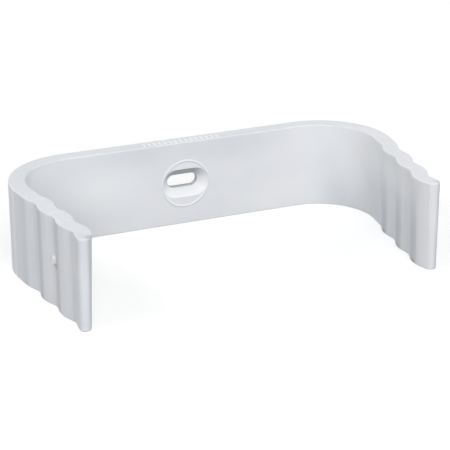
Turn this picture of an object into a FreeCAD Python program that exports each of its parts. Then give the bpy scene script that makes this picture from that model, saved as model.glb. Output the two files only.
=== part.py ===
import FreeCAD, Part
import math
import os

import Sketcher

# Downspout band: a one-piece moulded PVC strap that holds a rectangular downspout to a wall.
#
# The band is a U seen from above. A flat back lies on the wall and is held by one countersunk
# screw, whose hole is a slot so that the band can be shifted sideways. Two round corners lead
# into two springy legs. The legs lean towards each other and are corrugated, so they snap over
# the downspout's own flutes and keep it from turning or sliding out.
#
# Frame, in millimetres: x runs along the back, with the screw on x = 0. y = 0 is the face that
# lies on the wall, and the legs reach towards -y. z is up, with z = 0 at half height. The band
# stands on its lower rim, which is also the way round it is when it is screwed to the wall.
#
# The wall is modelled as the mould makes it: one upright strip section is swept along the middle
# line of one half, and mirrored to the other. The section's inner side has draft, so that the
# band leaves the core that shapes its inside, and its outer side is square to the rims. The tips
# get a lead-in on their inner side, so that the downspout spreads the legs as it goes in.

# Driving dimensions: name, value in millimetres or degrees, and what it is.
SIZES = [
    ("band_height", 20.5, "height of the strap, rim to rim"),
    ("wall", 3.8, "wall thickness at the upper rim"),
    ("core_draft", 1.7, "degrees that the inner side leans outward going down"),
    ("inside_width", 83.8, "widest inside width, just past the corners"),
    ("inside_corner_radius", 12.7, "inner radius of the two corners"),
    ("toe_in", 7.5, "degrees that each leg leans inward"),
    ("shoulder_length", 4.4, "plain stretch of leg between corner and flutes"),
    ("flute_pitch", 9.0, "distance from one flute to the next along the leg"),
    ("flute_depth", 0.82, "depth of the wave, crest to hollow"),
    ("flute_count", 3, "number of flutes on a leg"),
    ("tip_run", 0.85, "plain stretch past the last flute"),
    ("tip_thickness", 2.5, "thickness left at the very end of a leg, at the upper rim"),
    ("lead_in_angle", 30.0, "degrees between the leg and the lead-in on its tip's inner side"),
    ("lead_in_rounding", 1.2, "rounding between the lead-in and the end of the leg"),
    ("lead_in_blend", 8.0, "rounding between the lead-in and the last flute"),
    ("tip_rounding", 1.4, "rounding of the end's outer upright edge"),
    ("slot_width", 3.05, "height of the screw slot where it goes through"),
    ("slot_travel", 4.4, "distance between the centres of the slot's round ends"),
    ("countersink_width", 7.0, "height of the countersink on the inner face"),
    ("countersink_angle", 82.0, "full angle of the countersink in degrees"),
    ("ring_diameter", 12.1, "outer diameter of the raised ring round the screw slot"),
    ("ring_width", 0.7, "width of the raised ring at its foot"),
    ("ring_height", 0.14, "height of the raised ring above the inner face"),
    ("ring_slope", 65.0, "degrees that the sides of the raised ring lean towards its crest"),
    ("gate_radius", 1.0, "radius of the gate mark in the middle groove of one leg"),
    ("gate_rise", 0.4, "height of the gate mark's axis above half height"),
    ("gate_height", 0.5, "height of the gate mark above the bottom of the groove"),
    ("gate_rounding", 0.3, "rounding of the gate mark's top"),
    ("rim_rounding", 0.22, "rounding of the upper and lower rims"),
]

size = {name: value for name, value, note in SIZES}

document = FreeCAD.newDocument("downspout_band")


def fill_sheet():
    """Write the driving dimensions into a spreadsheet, one alias to a row."""
    sheet = document.addObject("Spreadsheet::Sheet", "Sizes")
    sheet.set("A1", "Name")
    sheet.set("B1", "Value")
    sheet.set("C1", "Meaning")
    for row, (name, value, note) in enumerate(SIZES, start=2):
        sheet.set(f"A{row}", name)
        sheet.set(f"B{row}", str(value))
        sheet.set(f"C{row}", note)
        sheet.setAlias(f"B{row}", name)
    document.recompute()


def origin_plane(body, role):
    """One of the body's own origin planes, by its role."""
    return next(item for item in body.Origin.OriginFeatures if item.Role == role)


def new_sketch(body, name, support):
    """An empty sketch lying flat on a plane or face of the body."""
    sketch = body.newObject("Sketcher::SketchObject", name)
    sketch.AttachmentSupport = support
    sketch.MapMode = "FlatFace"
    return sketch


def bind(sketch, constraint, formula):
    """Add a constraint to a sketch and tie its value to the sheet."""
    index = sketch.addConstraint(constraint)
    sketch.setExpression(f"Constraints[{index}]", formula)
    return index


def vector(x, y):
    return FreeCAD.Vector(x, y, 0)


def arc(centre, radius, start, end):
    """An arc that runs anticlockwise between two angles in radians."""
    circle = Part.Circle(centre, FreeCAD.Vector(0, 0, 1), radius)
    return Part.ArcOfCircle(circle, start, end)


# The end points of a line or arc, its centre, the sketch's own origin and upright axis, and the
# first two outside edges that a sketch takes over, as its constraints number them.
START = 1
END = 2
CENTRE = 3
ORIGIN = (-1, 1)
VERTICAL_AXIS = -2
FIRST_OUTSIDE = -3
SECOND_OUTSIDE = -4

# Radius of the flutes' arcs: crests and hollows are equal arcs that meet tangentially, and each
# spans half a pitch and half the depth of the wave.
FLUTE_RADIUS = "(Sizes.flute_pitch ^ 2 / (16 * Sizes.flute_depth) + Sizes.flute_depth / 4)"
flute_radius = size["flute_pitch"] ** 2 / (16 * size["flute_depth"]) + size["flute_depth"] / 4
flute_arc_total = 2 * int(size["flute_count"]) + 1


def draw_path(body):
    """The middle line of the wall over the left half of the band, seen from above.

    It runs from the screw's plane along the back, round the corner and down the leg. The flutes
    are a chain of tangent arcs. The first and the last are half arcs, which join the plain
    stretches at the top of an outward crest. All the arcs meet on one line, parallel to the leg.
    """
    sketch = new_sketch(body, "band_path", (origin_plane(body, "XY_Plane"), ""))
    toe = math.radians(size["toe_in"])
    corner_radius = size["inside_corner_radius"] + size["wall"] / 2
    back_length = size["inside_width"] / 2 - size["inside_corner_radius"]
    along = vector(math.sin(toe), -math.cos(toe))
    outward = vector(-math.cos(toe), -math.sin(toe))

    back_y = -size["wall"] / 2
    back_end = vector(-back_length, back_y)
    back = sketch.addGeometry(Part.LineSegment(vector(0, back_y), back_end))
    corner_centre = back_end - vector(0, corner_radius)
    corner_end = corner_centre + outward * corner_radius
    corner = sketch.addGeometry(arc(corner_centre, corner_radius, math.pi / 2, math.pi + toe))
    shoulder_end = corner_end + along * size["shoulder_length"]
    shoulder = sketch.addGeometry(Part.LineSegment(corner_end, shoulder_end))

    outward_angle = math.atan2(outward.y, outward.x)
    half_sweep = math.asin(size["flute_pitch"] / 4 / flute_radius)
    flutes = []
    for number in range(flute_arc_total):
        top = shoulder_end + along * (size["flute_pitch"] / 2 * number)
        before = 0 if number == 0 else half_sweep
        after = 0 if number == flute_arc_total - 1 else half_sweep
        if number % 2 == 0:
            centre = top - outward * flute_radius
            flute = arc(centre, flute_radius, outward_angle - before, outward_angle + after)
        else:
            centre = top + outward * (flute_radius - size["flute_depth"])
            inward_angle = outward_angle + math.pi
            flute = arc(centre, flute_radius, inward_angle - after, inward_angle + before)
        flutes.append(sketch.addGeometry(flute))

    # Outward arcs run along the leg from start to end, and inward arcs the other way.
    first_point = [START if number % 2 == 0 else END for number in range(flute_arc_total)]
    last_point = [END if number % 2 == 0 else START for number in range(flute_arc_total)]
    tip_start = shoulder_end + along * (size["flute_pitch"] * int(size["flute_count"]))
    tip = sketch.addGeometry(Part.LineSegment(tip_start, tip_start + along * size["tip_run"]))
    inset = outward * (-size["flute_depth"] / 2)
    first_meeting = shoulder_end + along * (size["flute_pitch"] / 4) + inset
    last_meeting = tip_start - along * (size["flute_pitch"] / 4) + inset
    meeting_line = sketch.addGeometry(Part.LineSegment(first_meeting, last_meeting), True)

    sketch.addConstraint(Sketcher.Constraint("Horizontal", back))
    sketch.addConstraint(Sketcher.Constraint("PointOnObject", back, START, VERTICAL_AXIS))
    wall_half = Sketcher.Constraint("DistanceY", back, START, *ORIGIN, size["wall"] / 2)
    bind(sketch, wall_half, "Sizes.wall / 2")
    back_span = Sketcher.Constraint("DistanceX", back, END, back, START, back_length)
    bind(sketch, back_span, "Sizes.inside_width / 2 - Sizes.inside_corner_radius")
    sketch.addConstraint(Sketcher.Constraint("Tangent", back, END, corner, START))
    bind(sketch, Sketcher.Constraint("Radius", corner, corner_radius),
         "Sizes.inside_corner_radius + Sizes.wall / 2")
    sketch.addConstraint(Sketcher.Constraint("Tangent", corner, END, shoulder, START))
    bind(sketch, Sketcher.Constraint("Angle", shoulder, toe - math.pi / 2),
         "Sizes.toe_in * 1 deg - 90 deg")
    bind(sketch, Sketcher.Constraint("Distance", shoulder, size["shoulder_length"]),
         "Sizes.shoulder_length")

    sketch.addConstraint(
        Sketcher.Constraint("Tangent", shoulder, END, flutes[0], first_point[0]))
    bind(sketch, Sketcher.Constraint("Radius", flutes[0], flute_radius), FLUTE_RADIUS)
    sketch.addConstraint(
        Sketcher.Constraint("Coincident", meeting_line, START, flutes[0], last_point[0]))
    sketch.addConstraint(Sketcher.Constraint("Parallel", meeting_line, shoulder))
    bind(sketch,
         Sketcher.Constraint("Distance", shoulder, END, meeting_line, size["flute_depth"] / 2),
         "Sizes.flute_depth / 2")
    for number in range(1, flute_arc_total):
        sketch.addConstraint(
            Sketcher.Constraint("Tangent", flutes[number - 1], last_point[number - 1],
                                flutes[number], first_point[number]))
        sketch.addConstraint(Sketcher.Constraint("Equal", flutes[0], flutes[number]))
        if number < flute_arc_total - 2:
            sketch.addConstraint(
                Sketcher.Constraint("PointOnObject", flutes[number], last_point[number],
                                    meeting_line))
    sketch.addConstraint(
        Sketcher.Constraint("Coincident", meeting_line, END, flutes[-2], last_point[-2]))
    sketch.addConstraint(Sketcher.Constraint("Tangent", flutes[-1], last_point[-1], tip, START))
    sketch.addConstraint(Sketcher.Constraint("Parallel", tip, shoulder))
    bind(sketch, Sketcher.Constraint("Distance", tip, size["tip_run"]), "Sizes.tip_run")
    document.recompute()
    middle_groove = flutes[int(size["flute_count"]) // 2 * 2 + 1]
    return sketch, shoulder, middle_groove, tip


def draw_section(body):
    """The section of the strap on the screw's plane: outer side upright, inner side with draft."""
    sketch = new_sketch(body, "wall_section", (origin_plane(body, "YZ_Plane"), ""))
    half = size["band_height"] / 2
    lean = size["band_height"] * math.tan(math.radians(size["core_draft"]))
    corners = [
        vector(0, -half),
        vector(0, half),
        vector(-size["wall"], half),
        vector(lean - size["wall"], -half),
    ]
    sides = []
    for number in range(len(corners)):
        following = corners[(number + 1) % len(corners)]
        sides.append(sketch.addGeometry(Part.LineSegment(corners[number], following)))
    outer, upper, inner, lower = sides
    for first, second in zip(sides, sides[1:] + sides[:1]):
        sketch.addConstraint(Sketcher.Constraint("Coincident", first, END, second, START))
    sketch.addConstraint(Sketcher.Constraint("Vertical", outer))
    sketch.addConstraint(Sketcher.Constraint("Horizontal", upper))
    sketch.addConstraint(Sketcher.Constraint("Horizontal", lower))
    sketch.addConstraint(Sketcher.Constraint("Symmetric", outer, START, outer, END, *ORIGIN))
    bind(sketch, Sketcher.Constraint("Distance", outer, size["band_height"]),
         "Sizes.band_height")
    bind(sketch, Sketcher.Constraint("Distance", upper, size["wall"]), "Sizes.wall")
    bind(sketch,
         Sketcher.Constraint("Angle", inner, math.radians(size["core_draft"]) - math.pi / 2),
         "Sizes.core_draft * 1 deg - 90 deg")
    return sketch


def draw_slot(sketch, width, width_formula):
    """A lying slot centred on the screw's axis, with the screw slot's travel between its ends."""
    radius = width / 2
    reach = size["slot_travel"] / 2
    right = sketch.addGeometry(arc(vector(reach, 0), radius, -math.pi / 2, math.pi / 2))
    top = sketch.addGeometry(Part.LineSegment(vector(reach, radius), vector(-reach, radius)))
    left = sketch.addGeometry(arc(vector(-reach, 0), radius, math.pi / 2, 3 * math.pi / 2))
    bottom = sketch.addGeometry(
        Part.LineSegment(vector(-reach, -radius), vector(reach, -radius)))
    ring = [right, top, left, bottom]
    for first, second in zip(ring, ring[1:] + ring[:1]):
        sketch.addConstraint(Sketcher.Constraint("Tangent", first, END, second, START))
    sketch.addConstraint(Sketcher.Constraint("Horizontal", top))
    sketch.addConstraint(Sketcher.Constraint("Symmetric", right, CENTRE, left, CENTRE, *ORIGIN))
    travel = Sketcher.Constraint("DistanceX", left, CENTRE, right, CENTRE, 2 * reach)
    bind(sketch, travel, "Sizes.slot_travel")
    bind(sketch, Sketcher.Constraint("Radius", right, radius), f"({width_formula}) / 2")


def edge_names(shape, wanted):
    """Names of the shape's edges for which wanted(edge) is true."""
    return [f"Edge{number}" for number, edge in enumerate(shape.Edges, start=1) if wanted(edge)]


def face_names(shape, wanted):
    """Names of the shape's faces for which wanted(face) is true."""
    return [f"Face{number}" for number, face in enumerate(shape.Faces, start=1) if wanted(face)]


def round_edges(body, name, base, edges, alias):
    """Round the named edges of a feature by a size from the sheet."""
    fillet = body.newObject("PartDesign::Fillet", name)
    fillet.Base = (base, edges)
    fillet.setExpression("Radius", f"Sizes.{alias}")
    document.recompute()
    return fillet


# Distance within which two points or heights count as the same.
NEAR = 1e-4

FULL_TURN = 360


def sweep_half(body, path):
    """Sweep the wall section along one half of the band."""
    half_band = body.newObject("PartDesign::AdditivePipe", "half_band")
    half_band.Profile = draw_section(body)
    half_band.Spine = path
    document.recompute()
    return half_band


def cut_lead_in(body, path, tip):
    """Cut the lead-in on the inner side of the tip, with the same draft as the inner side.

    The tip spreads when the downspout is pushed in, and the lead-in is where the two meet first.
    """
    sketch = new_sketch(body, "lead_in_outline", (origin_plane(body, "XY_Plane"), ""))
    sketch.setExpression("AttachmentOffset.Base.z", "Sizes.band_height / 2")
    sketch.addExternal(path.Name, f"Edge{tip + 1}")
    leg_line = FIRST_OUTSIDE
    toe = math.radians(size["toe_in"])
    slope = math.radians(size["lead_in_angle"])
    along = vector(math.sin(toe), -math.cos(toe))
    inward = vector(math.cos(toe), math.sin(toe))
    cut_along = along * math.cos(slope) - inward * math.sin(slope)
    leg_end = path.Geometry[tip].EndPoint
    cut_end = leg_end + inward * (size["tip_thickness"] - size["wall"] / 2)
    front = cut_end + cut_along * (size["wall"] / 2 / math.cos(slope))
    back = front - cut_along * (2 * size["wall"])
    side = back + along * (2 * size["wall"] * math.cos(slope))

    end_line = sketch.addGeometry(Part.LineSegment(leg_end, cut_end), True)
    lead_in = sketch.addGeometry(Part.LineSegment(back, front))
    closing = sketch.addGeometry(Part.LineSegment(front, side))
    clear = sketch.addGeometry(Part.LineSegment(side, back))
    sketch.addConstraint(Sketcher.Constraint("Coincident", lead_in, END, closing, START))
    sketch.addConstraint(Sketcher.Constraint("Coincident", closing, END, clear, START))
    sketch.addConstraint(Sketcher.Constraint("Coincident", clear, END, lead_in, START))
    sketch.addConstraint(Sketcher.Constraint("Coincident", end_line, START, leg_line, END))
    sketch.addConstraint(Sketcher.Constraint("Perpendicular", end_line, leg_line))
    sketch.addConstraint(Sketcher.Constraint("PointOnObject", end_line, END, lead_in))
    sketch.addConstraint(Sketcher.Constraint("Parallel", clear, leg_line))
    sketch.addConstraint(Sketcher.Constraint("Perpendicular", closing, leg_line))
    bind(sketch,
         Sketcher.Constraint("Distance", end_line, size["tip_thickness"] - size["wall"] / 2),
         "Sizes.tip_thickness - Sizes.wall / 2")
    bind(sketch, Sketcher.Constraint("Angle", lead_in, toe - math.pi / 2 - slope),
         "Sizes.toe_in * 1 deg - 90 deg - Sizes.lead_in_angle * 1 deg")
    bind(sketch, Sketcher.Constraint("Distance", lead_in, 2 * size["wall"]), "2 * Sizes.wall")
    bind(sketch, Sketcher.Constraint("Distance", lead_in, END, end_line, size["wall"] / 2),
         "Sizes.wall / 2")
    document.recompute()

    cut = body.newObject("PartDesign::Pocket", "lead_in")
    cut.Profile = sketch
    cut.setExpression("Length", "Sizes.band_height")
    cut.setExpression("TaperAngle", "Sizes.core_draft * 1 deg")
    document.recompute()
    return cut


def mirror_half(body, features):
    """Mirror the features of the left half to the right one."""
    both_halves = body.newObject("PartDesign::Mirrored", "both_halves")
    both_halves.Originals = features
    both_halves.MirrorPlane = (origin_plane(body, "YZ_Plane"), [""])
    body.Tip = both_halves
    document.recompute()
    return both_halves


def tip_faces(shape, direction):
    """The faces at the front of the legs whose outward normals point in one direction."""
    spread = 2 * math.radians(size["core_draft"])
    front = shape.BoundBox.YMin + size["wall"] * 2
    found = []
    for face in shape.Faces:
        first_u, last_u, first_v, last_v = face.ParameterRange
        normal = face.normalAt((first_u + last_u) / 2, (first_v + last_v) / 2)
        if face.CenterOfMass.y < front and normal.getAngle(direction) < spread:
            found.append(face)
    return found


def borders(faces, edge):
    """True where the edge belongs to one of the faces."""
    return any(edge.isSame(other) for face in faces for other in face.Edges)


def tip_edges(shape, on_end, on_lead_in):
    """The tips' upright edges that lie, or do not lie, on a leg's end and on a lead-in."""
    end_angle = math.radians(size["toe_in"]) - math.pi / 2
    lead_in_angle = math.radians(size["toe_in"] - size["lead_in_angle"])
    ends = []
    lead_ins = []
    for side in (-1, 1):
        ends += tip_faces(shape, vector(-side * math.cos(end_angle), math.sin(end_angle)))
        lead_ins += tip_faces(
            shape, vector(-side * math.cos(lead_in_angle), math.sin(lead_in_angle)))

    def is_wanted(edge):
        upright = edge.BoundBox.ZLength > size["band_height"] - NEAR
        end_agrees = borders(ends, edge) == on_end
        lead_in_agrees = borders(lead_ins, edge) == on_lead_in
        return upright and end_agrees and lead_in_agrees

    return edge_names(shape, is_wanted)


def round_tips(body, band):
    """Round the tips: the ends' outer edges, then the noses, then the lead-ins' backs."""
    outer = tip_edges(band.Shape, True, False)
    soft_ends = round_edges(body, "soft_ends", band, outer, "tip_rounding")
    nose = tip_edges(soft_ends.Shape, True, True)
    soft_noses = round_edges(body, "soft_noses", soft_ends, nose, "lead_in_rounding")
    back = tip_edges(soft_noses.Shape, False, True)
    return round_edges(body, "soft_lead_ins", soft_noses, back, "lead_in_blend")


def round_rims(body, band):
    """Round the upper and lower rims all the way round the band."""
    half = size["band_height"] / 2

    def is_rim_edge(edge):
        box = edge.BoundBox
        return box.ZLength < NEAR and abs(abs(box.ZMin) - half) < NEAR

    return round_edges(body, "soft_rims", band, edge_names(band.Shape, is_rim_edge),
                       "rim_rounding")


def draw_circle(sketch, radius, formula):
    """A circle round the sketch's origin."""
    up = FreeCAD.Vector(0, 0, 1)
    circle = sketch.addGeometry(Part.Circle(vector(0, 0), up, radius))
    sketch.addConstraint(Sketcher.Constraint("Coincident", circle, CENTRE, *ORIGIN))
    bind(sketch, Sketcher.Constraint("Radius", circle, radius), formula)


def raise_ring(body, band):
    """A low ring on the inner face of the back, concentric with the screw.

    A flat cone is raised, and its middle is cleared again down to the face with a cone that
    widens upward. Both sides of the ring lean towards its crest, which is narrow.
    """
    lean = math.radians(size["core_draft"])

    def is_inner_back(face):
        if face.Surface.TypeId != "Part::GeomPlane":
            return False
        normal = face.normalAt(0, 0)
        return abs(normal.x) < NEAR and abs(normal.y + math.cos(lean)) < NEAR

    inner_back = face_names(band.Shape, is_inner_back)[0]
    outer_radius = size["ring_diameter"] / 2
    outline = new_sketch(body, "ring_outline", (band, inner_back))
    draw_circle(outline, outer_radius, "Sizes.ring_diameter / 2")
    cone = body.newObject("PartDesign::Pad", "ring_cone")
    cone.Profile = outline
    cone.setExpression("Length", "Sizes.ring_height")
    cone.setExpression("TaperAngle", "-Sizes.ring_slope * 1 deg")
    document.recompute()

    hollow = new_sketch(body, "ring_hollow_outline", (band, inner_back))
    draw_circle(hollow, outer_radius - size["ring_width"],
                "Sizes.ring_diameter / 2 - Sizes.ring_width")
    clearing = body.newObject("PartDesign::Pocket", "ring_hollow")
    clearing.Profile = hollow
    clearing.Reversed = True
    clearing.setExpression("Length", "Sizes.ring_height")
    clearing.setExpression("TaperAngle", "Sizes.ring_slope * 1 deg")
    document.recompute()


# The inner face leans, so it is less far from the wall at the screw's height than at the rim.
MIDDLE_LEAN = "(Sizes.band_height / 2 * tan(Sizes.core_draft * 1 deg))"
middle_lean = size["band_height"] / 2 * math.tan(math.radians(size["core_draft"]))
HALF_ANGLE = "tan(Sizes.countersink_angle / 2 * 1 deg)"
half_angle_slope = math.tan(math.radians(size["countersink_angle"] / 2))

# The countersink is cut from a plane clear of the ring and of the inner face's thickest part,
# where its cone is that much wider than on the face.
MOUTH_WIDTH = (f"(Sizes.countersink_width + 2 * (Sizes.ring_height + {MIDDLE_LEAN})"
               f" * {HALF_ANGLE})")
mouth_width = size["countersink_width"] + 2 * (size["ring_height"] + middle_lean) * half_angle_slope


def cut_screw_slot(body):
    """The slot through the back, and its countersink on the inner side."""
    outline = new_sketch(body, "slot_outline", (origin_plane(body, "XZ_Plane"), ""))
    draw_slot(outline, size["slot_width"], "Sizes.slot_width")
    slot = body.newObject("PartDesign::Pocket", "screw_slot")
    slot.Profile = outline
    slot.Reversed = True
    slot.setExpression("Length", "Sizes.wall + Sizes.ring_height")
    document.recompute()

    mouth = new_sketch(body, "countersink_outline", (origin_plane(body, "XZ_Plane"), ""))
    mouth.setExpression("AttachmentOffset.Base.z", "Sizes.wall + Sizes.ring_height")
    draw_slot(mouth, mouth_width, MOUTH_WIDTH)
    countersink = body.newObject("PartDesign::Pocket", "countersink")
    countersink.Profile = mouth
    countersink.setExpression("TaperAngle", "-Sizes.countersink_angle / 2 * 1 deg")
    countersink.setExpression("Length",
                              f"({MOUTH_WIDTH} - Sizes.slot_width) / 2 / {HALF_ANGLE}")
    document.recompute()


def add_gate_mark(body, path, shoulder, groove):
    """The low round stub in the middle groove of the left leg, where the gate was broken off.

    Its axis runs from the centre of the groove's arc, square to the leg, and its foot is in the
    middle of the wall.
    """
    sketch = new_sketch(body, "gate_outline", (origin_plane(body, "XY_Plane"), ""))
    sketch.setExpression("AttachmentOffset.Base.z", "Sizes.gate_rise")
    sketch.addExternal(path.Name, f"Edge{groove + 1}")
    sketch.addExternal(path.Name, f"Edge{shoulder + 1}")
    groove_arc = FIRST_OUTSIDE
    leg_line = SECOND_OUTSIDE
    centre = path.Geometry[groove].Center
    toe = math.radians(size["toe_in"])
    inward = vector(math.cos(toe), math.sin(toe))
    along = vector(math.sin(toe), -math.cos(toe))
    foot = centre + inward * flute_radius
    top = foot - inward * (size["wall"] / 2 + size["gate_height"])
    edge = along * size["gate_radius"]

    axis = sketch.addGeometry(Part.LineSegment(centre, foot), True)
    corners = [foot, top, top + edge, foot + edge]
    sides = []
    for number in range(len(corners)):
        following = corners[(number + 1) % len(corners)]
        sides.append(sketch.addGeometry(Part.LineSegment(corners[number], following)))
    middle, upper, rim, lower = sides
    sketch.addConstraint(Sketcher.Constraint("Coincident", axis, START, groove_arc, CENTRE))
    sketch.addConstraint(Sketcher.Constraint("PointOnObject", axis, END, groove_arc))
    sketch.addConstraint(Sketcher.Constraint("Perpendicular", axis, leg_line))
    sketch.addConstraint(Sketcher.Constraint("Coincident", axis, END, middle, START))
    sketch.addConstraint(Sketcher.Constraint("PointOnObject", middle, END, axis))
    for first, second in zip(sides, sides[1:] + sides[:1]):
        sketch.addConstraint(Sketcher.Constraint("Coincident", first, END, second, START))
    sketch.addConstraint(Sketcher.Constraint("Perpendicular", upper, axis))
    sketch.addConstraint(Sketcher.Constraint("Parallel", rim, axis))
    sketch.addConstraint(Sketcher.Constraint("Perpendicular", lower, axis))
    bind(sketch,
         Sketcher.Constraint("Distance", middle, size["wall"] / 2 + size["gate_height"]),
         "Sizes.wall / 2 + Sizes.gate_height")
    bind(sketch, Sketcher.Constraint("Distance", upper, size["gate_radius"]),
         "Sizes.gate_radius")
    document.recompute()

    stub = body.newObject("PartDesign::Revolution", "gate_stub")
    stub.Profile = sketch
    stub.ReferenceAxis = (sketch, ["Axis0"])
    stub.Angle = FULL_TURN
    document.recompute()

    raised_top = FreeCAD.Vector(top.x, top.y, size["gate_rise"])

    def is_stub_top(edge):
        circle = edge.Curve
        if circle.TypeId != "Part::GeomCircle":
            return False
        same_radius = abs(circle.Radius - size["gate_radius"]) < NEAR
        return same_radius and (circle.Center - raised_top).Length < NEAR

    return round_edges(body, "soft_gate_mark", stub, edge_names(stub.Shape, is_stub_top),
                       "gate_rounding")


def check_document():
    """Stop if any object failed, or if a shape is empty or invalid."""
    for item in document.Objects:
        if "Invalid" in item.State or "Error" in item.State:
            raise RuntimeError(f"{item.Name} failed: {item.State}")
    for body in document.findObjects("PartDesign::Body"):
        if body.Shape.isNull() or not body.Shape.isValid():
            raise RuntimeError(f"{body.Label} has no valid shape")


fill_sheet()
band_body = document.addObject("PartDesign::Body", "downspout_band")
band_body.Label = "downspout_band"
band_path, shoulder_line, middle_groove, tip_line = draw_path(band_body)
left_half = sweep_half(band_body, band_path)
left_lead_in = cut_lead_in(band_body, band_path, tip_line)
band = mirror_half(band_body, [left_half, left_lead_in])
raise_ring(band_body, band)
cut_screw_slot(band_body)
soft_gate_mark = add_gate_mark(band_body, band_path, shoulder_line, middle_groove)
soft_tips = round_tips(band_body, soft_gate_mark)
round_rims(band_body, soft_tips)
check_document()

os.makedirs("parts", exist_ok=True)
for body in document.findObjects("PartDesign::Body"):
    body.Shape.exportStep(f"parts/{body.Label}.step")
    print(f"{body.Label}: {len(body.Shape.Faces)} faces, {body.Shape.Volume:.0f} cubic mm")
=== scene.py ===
# %% [markdown]
# # A white downspout band, from plain solid to photograph
#
# The object is one small moulding of white PVC. It is a flat U that holds a rectangular downspout to a
# wall. The solid was made in CAD, and this lesson gives it the looks: a camera, a stage, soft light and
# a plastic that is worth looking at closely.
#
# The first step loads the solid. It could be modelled again here, but then two shapes would have to be
# kept alike, so the CAD mesh itself is shown. It stays where it is, and only its material changes.

# %% Load the solid
import math

import bmesh
import bpy
from mathutils import Matrix, Vector


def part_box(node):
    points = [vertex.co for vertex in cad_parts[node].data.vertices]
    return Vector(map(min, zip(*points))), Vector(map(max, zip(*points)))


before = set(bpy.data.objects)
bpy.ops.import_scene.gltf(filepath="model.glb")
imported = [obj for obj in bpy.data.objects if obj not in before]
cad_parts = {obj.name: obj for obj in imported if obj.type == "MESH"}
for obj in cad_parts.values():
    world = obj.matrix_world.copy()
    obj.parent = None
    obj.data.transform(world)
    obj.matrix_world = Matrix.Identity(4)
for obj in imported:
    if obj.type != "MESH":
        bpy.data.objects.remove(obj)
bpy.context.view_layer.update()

MM = 0.001
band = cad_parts["downspout_band"]
lowest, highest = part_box("downspout_band")
FLOOR_HEIGHT = lowest.z
print("the band is", [round(side / MM, 2) for side in highest - lowest], "mm")

# %% [markdown]
# ## Where the camera stood
#
# A long lens looks at the band from its left front and from a little above. Its place could be found by
# trial, but the straight rims and the round corners of the band leave only one answer, so the numbers
# below were solved from them. The camera turns round the foot of the back, on the plane of the screw.
# It then slides a little sideways in its own picture plane, which moves the band in the picture
# without turning it.

# %% The camera
SENSOR = 36.0
LENS = 132.92
AZIMUTH = -22.989
ELEVATION = 22.197
ROLL = -0.036
DISTANCE = 393.81 * MM
NEAREST_SEEN = 10 * MM
FURTHEST_SEEN = 10.0
SLIDE_RIGHT = 9.154 * MM
SLIDE_UP = -0.259 * MM
WALL = 3.8 * MM
PIVOT = Vector((0, -WALL, FLOOR_HEIGHT))


def direction_from(azimuth, elevation):
    """Points from the object to a viewer or a lamp. Azimuth 0 is in front, 90 is at the right."""
    turn, lift = math.radians(azimuth), math.radians(elevation)
    flat = math.cos(lift)
    return Vector((math.sin(turn) * flat, -math.cos(turn) * flat, math.sin(lift)))


def aimed(back, roll=0.0):
    """A turn whose own Z points along back, with its own X level before it rolls."""
    side = Vector((0, 0, 1)).cross(back).normalized()
    turn = Matrix((side, back.cross(side), back)).transposed()
    return turn @ Matrix.Rotation(math.radians(roll), 3, "Z")


lens = bpy.data.cameras.new("long_lens")
lens.sensor_width = SENSOR
lens.lens = LENS
lens.dof.use_dof = False
lens.clip_start = NEAREST_SEEN
lens.clip_end = FURTHEST_SEEN
camera = bpy.data.objects.new("camera", lens)
bpy.context.scene.collection.objects.link(camera)
towards_camera = direction_from(AZIMUTH, ELEVATION)
camera_turn = aimed(towards_camera, ROLL)
camera_place = PIVOT + towards_camera * DISTANCE + camera_turn @ Vector((SLIDE_RIGHT, SLIDE_UP, 0))
camera.matrix_world = Matrix.Translation(camera_place) @ camera_turn.to_4x4()
bpy.context.scene.camera = camera
print("the camera stands at", [round(value / MM, 1) for value in camera_place], "mm")

# %% [markdown]
# ## Shader maths as plain maths
#
# A procedural material is arithmetic on the surface: how high is this point, how near is it to an edge,
# how strong is the noise here. Each step is a Math node, and wiring dozens of them by hand hides the
# idea. A small class that holds one socket and answers to +, -, * and / lets the idea be read as a
# formula. Colours are mixed in a node of their own, because a Math node would turn them grey.

# %% One wire of a shader
class Wire:
    """A socket of a shader tree. Maths on wires adds the Math nodes."""

    def __init__(self, tree, socket=None):
        self.tree = tree
        self.socket = socket

    def node(self, kind, settings=None, inputs=None, output=0):
        """Adds a node: its settings first, then the values or wires of its sockets."""
        made = self.tree.nodes.new(kind)
        for name, value in (settings or {}).items():
            setattr(made, name, value)
        for name, value in (inputs or {}).items():
            if isinstance(value, Wire):
                self.tree.links.new(value.socket, made.inputs[name])
            else:
                made.inputs[name].default_value = value
        return Wire(self.tree, made.outputs[output])

    def maths(self, operation, first, second=0.0):
        return self.node("ShaderNodeMath", {"operation": operation}, {0: first, 1: second})

    def __add__(self, other):
        return self.maths("ADD", self, other)

    def __radd__(self, other):
        return self.maths("ADD", other, self)

    def __sub__(self, other):
        return self.maths("SUBTRACT", self, other)

    def __rsub__(self, other):
        return self.maths("SUBTRACT", other, self)

    def __mul__(self, other):
        return self.maths("MULTIPLY", self, other)

    def __rmul__(self, other):
        return self.maths("MULTIPLY", other, self)

    def __truediv__(self, other):
        return self.maths("DIVIDE", self, other)

    def __rtruediv__(self, other):
        return self.maths("DIVIDE", other, self)

    def __abs__(self):
        return self.maths("ABSOLUTE", self)

    def ramp(self, start, end):
        """0 up to start, 1 from end on and a soft change between. The end may be the lower one."""
        return self.node(
            "ShaderNodeMapRange",
            {"interpolation_type": "SMOOTHSTEP"},
            {"Value": self, "From Min": start, "From Max": end},
        )

    def near(self, centre, reach):
        """1 at centre, falling softly to 0 at reach from it."""
        return 1 - abs(self - centre).ramp(0.0, reach)

    def mixed(self, first, second):
        """The colour first where this wire is 0 and second where it is 1."""
        return self.node(
            "ShaderNodeMix", {"data_type": "RGBA"}, {0: self, 6: first, 7: second}, output=2
        )


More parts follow.
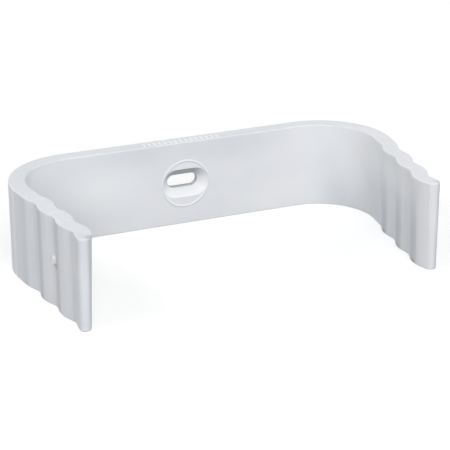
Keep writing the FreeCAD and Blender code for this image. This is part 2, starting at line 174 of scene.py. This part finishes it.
def new_material(name):
    """An empty material, and a loose wire to start its nodes from."""
    made = bpy.data.materials.new(name)
    made.use_nodes = True
    made.node_tree.nodes.clear()
    return made, Wire(made.node_tree)


print("a wire answers to + - * / and abs")

# %% [markdown]
# ## What the camera sees as white
#
# A catalogue picture like this one is cut out on white. More lamps would make the paper white too, but
# they would burn out the white plastic on it. Here the floor and the sky are white only where the
# camera looks, straight, in a reflection or through something. Every other ray meets grey paper and a
# dim sky, so the light that they throw on the band stays gentle.

# %% One question for floor and sky
def seen_by_camera(wire):
    """1 for rays that end in the picture as they are: camera, glossy and transmission rays."""
    kinds = [
        wire.node("ShaderNodeLightPath", output=name)
        for name in ("Is Camera Ray", "Is Glossy Ray", "Is Transmission Ray")
    ]
    return wire.maths("MAXIMUM", wire.maths("MAXIMUM", kinds[0], kinds[1]), kinds[2])


bpy.context.scene.view_settings.view_transform = "Standard"
print("the view transform is", bpy.context.scene.view_settings.view_transform)

# %% [markdown]
# ## The paper floor
#
# The camera sees lit paper with some light added, just enough to make open paper white. Where the
# band keeps the lamps away, the sum falls below white, and the soft shadow shows. For all other rays
# the paper is dark, because light from below would fill the undersides, such as the upper slope of the
# countersink, and these are the darkest places of the picture.

# %% The floor
WHITE = (1, 1, 1, 1)
PAPER_SEEN = (0.60, 0.60, 0.60, 1)
PAPER_LIFT = 0.525
PAPER_UNSEEN = (0.12, 0.12, 0.12, 1)
FLOOR_SIDE = 6.0

paper, wire = new_material("white_paper")
lift = wire.node("ShaderNodeEmission", None, {"Color": WHITE, "Strength": PAPER_LIFT})
bright = wire.node("ShaderNodeBsdfDiffuse", None, {"Color": PAPER_SEEN})
dark = wire.node("ShaderNodeBsdfDiffuse", None, {"Color": PAPER_UNSEEN})
lifted = wire.node("ShaderNodeAddShader", None, {0: bright, 1: lift})
floor_shader = wire.node("ShaderNodeMixShader", None, {0: seen_by_camera(wire), 1: dark, 2: lifted})
paper_end = paper.node_tree.nodes.new("ShaderNodeOutputMaterial")
paper.node_tree.links.new(floor_shader.socket, paper_end.inputs["Surface"])

sheet_mesh = bmesh.new()
bmesh.ops.create_grid(sheet_mesh, x_segments=1, y_segments=1, size=FLOOR_SIDE / 2)
bmesh.ops.translate(sheet_mesh, verts=sheet_mesh.verts, vec=(0, 0, FLOOR_HEIGHT))
floor_mesh = bpy.data.meshes.new("paper_floor")
sheet_mesh.to_mesh(floor_mesh)
sheet_mesh.free()
floor_mesh.materials.append(paper)
floor = bpy.data.objects.new("paper_floor", floor_mesh)
bpy.context.scene.collection.objects.link(floor)
print("the floor is", FLOOR_SIDE, "m wide at", round(FLOOR_HEIGHT / MM, 2), "mm")

# %% [markdown]
# ## The sky
#
# An even sky fills all the hollows a little, so that no groove of the legs goes black.

# %% The sky
SKY = (0.97, 0.985, 1.0, 1)
SKY_STRENGTH = 0.12

world = bpy.data.worlds.new("soft_sky")
bpy.context.scene.world = world
world.use_nodes = True
world.node_tree.nodes.clear()
sky = Wire(world.node_tree)
even = sky.node("ShaderNodeBackground", None, {"Color": SKY, "Strength": SKY_STRENGTH})
white = sky.node("ShaderNodeBackground", None, {"Color": WHITE, "Strength": 1.0})
sky_shader = sky.node("ShaderNodeMixShader", None, {0: seen_by_camera(sky), 1: even, 2: white})
sky_end = world.node_tree.nodes.new("ShaderNodeOutputWorld")
world.node_tree.links.new(sky_shader.socket, sky_end.inputs["Surface"])
print("the sky has strength", SKY_STRENGTH)

# %% [markdown]
# ## The lamps
#
# No shadow in the picture has a hard edge, so the lamps are large squares close by. Their places were
# found by lighting the band with one lamp at a time and asking which sum of such pictures comes
# nearest: light only adds up, so that sum is the picture with all of them on. A low and a high lamp
# in front light the back, those at the left and the right shape the legs, and a weak one from behind
# keeps the outside of the back from dark.

# %% Seven soft lamps
LAMP_SIDE = 0.8
LAMP_DISTANCE = 1.2
LAMPS = {
    "front_low": (-10, 12, 8.0),
    "front_high": (-10, 35, 3.2),
    "right_front": (20, 35, 1.9),
    "right": (80, 35, 5.3),
    "left_front": (-70, 35, 2.7),
    "left": (-100, 35, 4.0),
    "behind": (-160, 20, 3.6),
}


def soft_lamp(name, azimuth, elevation, power):
    """A square lamp that looks at the middle of the band."""
    lamp = bpy.data.lights.new(name, "AREA")
    lamp.shape = "SQUARE"
    lamp.size = LAMP_SIDE
    lamp.energy = power
    made = bpy.data.objects.new(name, lamp)
    bpy.context.scene.collection.objects.link(made)
    towards = direction_from(azimuth, elevation)
    made.matrix_world = Matrix.Translation(towards * LAMP_DISTANCE) @ aimed(towards).to_4x4()


for name, (azimuth, elevation, power) in LAMPS.items():
    soft_lamp(name, azimuth, elevation, power)
print(len(LAMPS), "lamps with", round(sum(power for *_, power in LAMPS.values()), 1), "W in all")

# %% [markdown]
# ## Where on the band
#
# White PVC is a cool white with a low sheen. One colour and one roughness would look like nothing in
# particular, so the plastic is built up from the traces of its making. Each trace is a mask: a wire
# that is 1 where the trace is and 0 elsewhere. A mask needs to know where it is on the band, so the
# first wires are the place in millimetres, and the place along a leg and through it.

# %% Places in millimetres
TOE_IN = math.radians(7.5)
FLUTES_START = (43.10, -22.77)
FLUTE_PITCH = 9.0
FLUTE_DEPTH = 0.82
LEG_BEGINS = (-3.0, 0.0)
THROUGH_WALL = (-0.5, 0.5)
LEFT_PART = (-30.0, -35.0)
LOW_PART = (-5.5, -9.6)
BELOW_RIM = (10.15, 9.8)

plastic, wire = new_material("white_pvc")
place = wire.node("ShaderNodeTexCoord", output="Object")
x, y, z = (
    wire.node("ShaderNodeSeparateXYZ", None, {"Vector": place}, output=axis) / MM for axis in range(3)
)
across = abs(x) - FLUTES_START[0]
forward = FLUTES_START[1] - y
run = forward * math.cos(TOE_IN) - across * math.sin(TOE_IN)
out = forward * math.sin(TOE_IN) + across * math.cos(TOE_IN)
on_leg = run.ramp(*LEG_BEGINS)
outside = (out + FLUTE_DEPTH / 2).ramp(*THROUGH_WALL)
on_left = x.ramp(*LEFT_PART)
low = z.ramp(*LOW_PART)
under_rim = z.ramp(*BELOW_RIM)
print("a leg has its first flute", FLUTES_START[0], "mm from the middle")

# %% [markdown]
# ## The grooves
#
# The flutes are a wave along the leg, so a cosine of the place along it is 1 on every outward crest.
# On the inner side these crests are the grooves, and on the outer side the grooves lie between them.
# Painted shade lies on the flank beyond each groove, so the wave lags behind the flutes. On the outer
# side the lag is smaller and shrinks towards the tip. On the right leg the painted shade fades above a
# slant, and it is deepest at the foot of the grooves. A painted highlight on the outer side marks the
# corner's end.

# %% The painted shade in the grooves
INNER_LAG = 4.2
OUTER_LAG = 3.6
LAG_LOSS = 0.1
INNER_END = 24.2
OUTER_END = 21.8
FLUTES_BEGIN = (-4.5, 4.0)
FLUTES_STOP = (1.0, 0.0)
GROOVE_SIDES = (-0.1, 0.75)
GROOVE_BOTTOM = (0.5, 1.0)
GROOVE_FOOT = (-9.0, -10.1)
SLANT_MIDDLE = 13.0
SLANT_RISE = 0.2
SLANT_EDGE = (8.0, -5.0)
LEFT_SHADE_STRENGTH = 0.6
LOW_SHADE_STRENGTH = 0.1
RIGHT_SHADE_STRENGTH = 0.65
CORNER_END = -5.6
CORNER_LINE = 1.7

lag = INNER_LAG - outside * (run * LAG_LOSS + (INNER_LAG - OUTER_LAG))
wave = wire.maths("COSINE", (run - lag) * (2 * math.pi / FLUTE_PITCH))
hollow = wave * (1 - outside * 2)
past_end = run - INNER_END + outside * (INNER_END - OUTER_END)
fluted = run.ramp(*FLUTES_BEGIN) * past_end.ramp(*FLUTES_STOP)
# Painted shade on the flank beyond each groove.
groove = hollow.ramp(*GROOVE_SIDES) * fluted * under_rim
# Deeper painted shade at the foot of the grooves.
groove_end = hollow.ramp(*GROOVE_BOTTOM) * fluted * z.ramp(*GROOVE_FOOT)
# Where the right leg's painted shade is full: below a slanting line.
below_slant = (z + (SLANT_MIDDLE - run) * SLANT_RISE).ramp(*SLANT_EDGE)
groove_shade_depth = on_left * (LEFT_SHADE_STRENGTH + low * LOW_SHADE_STRENGTH) + (1 - on_left) * below_slant * RIGHT_SHADE_STRENGTH
# A painted highlight where the corner ends.
corner_highlight = run.near(CORNER_END, CORNER_LINE) * outside * under_rim
# The printed lag is how far the painted shade lies beyond the grooves.
print("the dust lies up to", INNER_LAG, "mm beyond the grooves")

# %% [markdown]
# ## The tips' painted shade
#
# The round edge of each tip that faces right turns away from the lamps, so it is painted a little greyer:
# painted shade. On the right leg that is the outer edge, on the left leg the inner.

# %% The tips' painted shade on their right
TIP_MIDDLE = 0.65
TIP_BEGINS = (25.4, 26.8)
RIGHT_HALF = (-0.1, 1.0)

rightward = (out - TIP_MIDDLE) * wire.maths("SIGN", x)
# Painted shade on the round edge of each tip that faces right.
tip_edge = run.ramp(*TIP_BEGINS) * rightward.ramp(*RIGHT_HALF)
print("the tips are grey on their right")

# %% [markdown]
# ## The screw recess
#
# The slopes of the countersink are cut clean by the core pin of the mould, which makes them smoother. The
# upper slope looks down, where hardly any light comes from, so it is painted darker, as painted shade,
# and only its right end is paler, as painted light. The lower slope looks up and is painted paler, as
# painted light, and so is the upper part of the flat inside the ring. The bore is painted dark, as
# painted shade. The distance from a slot is the distance from the line between the centres of its round
# ends.

# %% The shaded upper slope
SLOT_HALF_TRAVEL = 2.2
SLOT_RADIUS = 1.525
RECESS_RADIUS = 3.5
RECESS_EDGE = (RECESS_RADIUS + 0.12, RECESS_RADIUS - 0.05)
BORE_EDGE = (SLOT_RADIUS + 0.12, SLOT_RADIUS + 0.03)
OFF_THE_WALL = (-0.6, -1.0)
INNER_FACE = (-3.0, -3.4)
SLIVER = 0.01
UPPER_PART = (0.1, 0.95)
LOWER_PART = (-0.1, -0.8)
SHADED_END = (5.5, 1.5)
LEAST_SHADE = 0.3
PALE_END = (2.5, 5.5)
RING_INSIDE = (5.6, 5.2)
RING_UPPER_PART = (-1.0, 3.0)


def distance(first, second):
    """How far a point is from another that lies first beside it and second above it."""
    return wire.maths("SQRT", first * first + second * second)


beside = wire.maths("MAXIMUM", abs(x) - SLOT_HALF_TRAVEL, 0.0)
from_slot = distance(beside, z)
recess = from_slot.ramp(*RECESS_EDGE) * y.ramp(*OFF_THE_WALL)
height_share = z / (from_slot + SLIVER)
shaded = LEAST_SHADE + x.ramp(*SHADED_END) * (1 - LEAST_SHADE)
# Painted shade on the upper slope, weaker at its right end.
upper_slope = recess * height_share.ramp(*UPPER_PART) * shaded
# Painted light on the lower slope.
lower_slope = recess * height_share.ramp(*LOWER_PART)
# Painted light at the right end of the recess.
right_slope = recess * x.ramp(*PALE_END)
# Painted shade in the bore.
bore = from_slot.ramp(*BORE_EDGE)
# Painted light on the upper part of the flat inside the ring.
in_ring = distance(x, z).ramp(*RING_INSIDE) * y.ramp(*INNER_FACE) * z.ramp(*RING_UPPER_PART)
print("the recess reaches", RECESS_RADIUS, "mm from the slot's line")

# %% [markdown]
# ## The gate mark
#
# The plastic came in through the stub on the left leg. The stub is painted white, as a painted highlight,
# and a small spot below it is painted dark, as painted shade. Both places are given as the way along the
# leg and the height.

# %% The gate's painted highlight and the painted shade below it
GATE = (13.5, 0.4)
GATE_EDGE = (1.0, 0.6)
SPOT_BELOW_GATE = (14.1, -0.95)
SPOT_EDGE = (0.42, 0.12)

# Painted highlight on the gate stub.
gate = on_left * outside * distance(run - GATE[0], z - GATE[1]).ramp(*GATE_EDGE)
# Painted shade in a small spot below the stub.
spot_below_gate = on_left * outside * distance(run - SPOT_BELOW_GATE[0], z - SPOT_BELOW_GATE[1]).ramp(*SPOT_EDGE)
print("the gate is", GATE[0], "mm down the left leg")

# %% [markdown]
# ## The marks on the rim
#
# Over the screw the rim has a plain row of short strokes, lower than the rim's own rounding. They are a
# bump and a paler colour, which is a painted highlight on them: a triangle wave along the band, of which
# only the upper half is kept. A second wave of twice the length makes every other stroke shorter.

# %% A row of strokes
STROKE_PITCH = 1.3
STROKES_FROM = -10.4
STROKES_TO = 9.1
ROW_FADE = 0.3
STROKE_SIDES = (0.5, 0.75)
STROKE_INNER_END = (-3.3, -3.0)
STROKE_OUTER_END = (-0.6, -0.9)
SHORTENING = 1.1
RIM_TOP = (10.1, 10.2)

zigzag = wire.maths("PINGPONG", x, STROKE_PITCH / 2) / (STROKE_PITCH / 2)
every_other = wire.maths("PINGPONG", x, STROKE_PITCH) / STROKE_PITCH
row = x.ramp(STROKES_FROM, STROKES_FROM + ROW_FADE) * x.ramp(STROKES_TO, STROKES_TO - ROW_FADE)
length = y.ramp(*STROKE_INNER_END) * (y + every_other * SHORTENING).ramp(*STROKE_OUTER_END)
# The strokes are a bump, and their paler colour is a painted highlight.
stroke = zigzag.ramp(*STROKE_SIDES) * row * length * z.ramp(*RIM_TOP)
print("the row is", STROKES_TO - STROKES_FROM, "mm long")

# %% [markdown]
# ## Painted shade and light in fixed places
#
# Some blots lie in fixed places. The darker ones are painted shade: under the rim, at the rim's left
# corner and on the left tip. The paler ones are painted light on the back, at its right end and on the
# right corner and leg. Each of these is a soft blot, an ellipsoid in the solid.

# %% Placed painted shade and light
def blot(centre, reach):
    """1 in the middle of an ellipsoid and 0 outside, all in millimetres."""
    total = 0.0
    for axis, middle, radius in zip((x, y, z), centre, reach):
        share = (axis - middle) / radius
        total = share * share + total
    return wire.maths("SQRT", total).ramp(1.0, 0.0)


INNER_BACK = -3.5
SHADE_BLOTS = {
    "left under the rim": ((-12, INNER_BACK, 9.5), (14, 3, 6)),
    "right under the rim": ((12, INNER_BACK, 8.5), (20, 3, 7)),
    "left corner of the rim": ((-38, -10, 10.3), (14, 18, 1.4)),
    "left tip": ((-41, -49, 8), (4, 6, 9)),
}
LIGHT_BLOTS = {
    "left on the back": ((-22, INNER_BACK, 1), (19, 3, 9)),
    "right on the back": ((26, INNER_BACK, -8), (20, 3, 10)),
    "end of the back": ((41, -10, 0), (6, 8, 10)),
    "right corner": ((41, -17, 5), (7, 11, 9)),
    "right leg": ((41, -34, 5), (5, 16, 5)),
}


def strongest(clouds):
    """The highest of the clouds' masks at each place."""
    most = 0.0
    for centre, reach in clouds.values():
        most = wire.maths("MAXIMUM", most, blot(centre, reach))
    return most


# Painted shade in fixed places.
dull = strongest(SHADE_BLOTS)
# Painted light in fixed places.
pale = strongest(LIGHT_BLOTS)
print(len(SHADE_BLOTS), "dull clouds and", len(LIGHT_BLOTS), "pale ones")

# %% [markdown]
# ## Clouds, streaks and skin
#
# Three noises give the white its life. Large clouds are where the flow of the melt changed the
# density, streaks run up and down the legs because the band was drawn off its core that way, and a
# fine grain is the skin of the steel.

# %% Three noises
CLOUD_SCALE = 55.0
STREAK_SCALE = 700.0
STREAK_STRETCH = (1.0, 1.0, 0.09)
GRAIN_SCALE = 5200.0

clouds = wire.node(
    "ShaderNodeTexNoise", None, {"Vector": place, "Scale": CLOUD_SCALE, "Detail": 3.0, "Roughness": 0.55}
)
drawn = wire.node("ShaderNodeMapping", None, {"Vector": place, "Scale": STREAK_STRETCH})
streaks = wire.node(
    "ShaderNodeTexNoise", None, {"Vector": drawn, "Scale": STREAK_SCALE, "Detail": 2.0}
)
grain = wire.node("ShaderNodeTexNoise", None, {"Vector": place, "Scale": GRAIN_SCALE, "Detail": 1.0})
print("three noises, of scale", CLOUD_SCALE, STREAK_SCALE, "and", GRAIN_SCALE)

# %% [markdown]
# ## The plastic
#
# The colours are laid over each other as a painter would: the white, its clouds, the painted shade and
# light, and the marks. Each layer is a mask, its strength and its colour, and a later one covers an
# earlier one.
# Roughness and bump take the same noises, so that what looks dull also feels dull.

# %% The colours in their layers
PVC = (0.806, 0.82, 0.851, 1)
CLOUD = (0.765, 0.79, 0.825, 1)
STREAK = (0.85, 0.86, 0.885, 1)
LIT_WHITE = (0.95, 0.96, 0.975, 1)
SHADED_WHITE = (0.70, 0.725, 0.76, 1)
GROOVE_SHADE = (0.58, 0.61, 0.65, 1)
TIP_SHADE = (0.50, 0.53, 0.565, 1)
DEEP_SHADE = (0.30, 0.32, 0.35, 1)
SHADE = (0.50, 0.525, 0.555, 1)
RING_LIT_WHITE = (0.88, 0.89, 0.91, 1)
HIGHLIGHT_WHITE = (0.93, 0.94, 0.95, 1)
STROKE_HIGHLIGHT = (0.96, 0.975, 0.995, 1)

CLOUD_EDGE = (0.35, 0.65)
STREAK_EDGE = (0.45, 0.75)
STREAK_LIMIT = 1.15

# Every layer after the streaks is painted shade or painted light, each in its own place.
layers = (
    (streaks.ramp(*STREAK_EDGE) * on_leg * (STREAK_LIMIT - below_slant), 0.6, STREAK),
    (dull * (1 - in_ring), 0.7, SHADED_WHITE),
    (wire.maths("MAXIMUM", pale, corner_highlight), 0.5, LIT_WHITE),
    (in_ring * (1 - recess), 0.5, RING_LIT_WHITE),
    (groove * groove_shade_depth, 1.0, GROOVE_SHADE),
    (groove_end, 0.6, DEEP_SHADE),
    (tip_edge, 0.85, TIP_SHADE),
    (stroke, 1.0, STROKE_HIGHLIGHT),
    (upper_slope, 1.0, SHADE),
    (lower_slope, 0.4, HIGHLIGHT_WHITE),
    (right_slope, 0.7, HIGHLIGHT_WHITE),
    (bore, 0.6, DEEP_SHADE),
    (gate, 1.0, HIGHLIGHT_WHITE),
    (spot_below_gate, 1.0, DEEP_SHADE),
)
colour = clouds.ramp(*CLOUD_EDGE).mixed(CLOUD, PVC)
for mask, strength, shade in layers:
    colour = (mask * strength).mixed(colour, shade)
print(len(layers), "layers lie on the white")

# %% The sheen and the skin
ROUGHNESS = 0.5
CLOUD_ROUGHNESS = 0.2
GROOVE_ROUGHNESS = 0.1
CLEAN_SMOOTHNESS = 0.08
STREAK_HEIGHT = 2.0
STROKE_HEIGHT = 10.0
SKIN_STRENGTH = 0.35
SKIN_DEPTH = 0.02 * MM

sheen = ROUGHNESS + (clouds - 0.5) * CLOUD_ROUGHNESS + groove * GROOVE_ROUGHNESS - recess * CLEAN_SMOOTHNESS
relief = grain + streaks * on_leg * STREAK_HEIGHT + stroke * STROKE_HEIGHT
skin = wire.node(
    "ShaderNodeBump", None, {"Strength": SKIN_STRENGTH, "Distance": SKIN_DEPTH, "Height": relief}
)
pvc_shader = wire.node(
    "ShaderNodeBsdfPrincipled",
    None,
    {
        "Base Color": colour,
        "Roughness": sheen,
        "IOR": 1.53,
        "Specular IOR Level": 0.25,
        "Normal": skin,
    },
)
pvc_end = plastic.node_tree.nodes.new("ShaderNodeOutputMaterial")
plastic.node_tree.links.new(pvc_shader.socket, pvc_end.inputs["Surface"])
band.data.materials.clear()
band.data.materials.append(plastic)
print("the band wears", plastic.name)
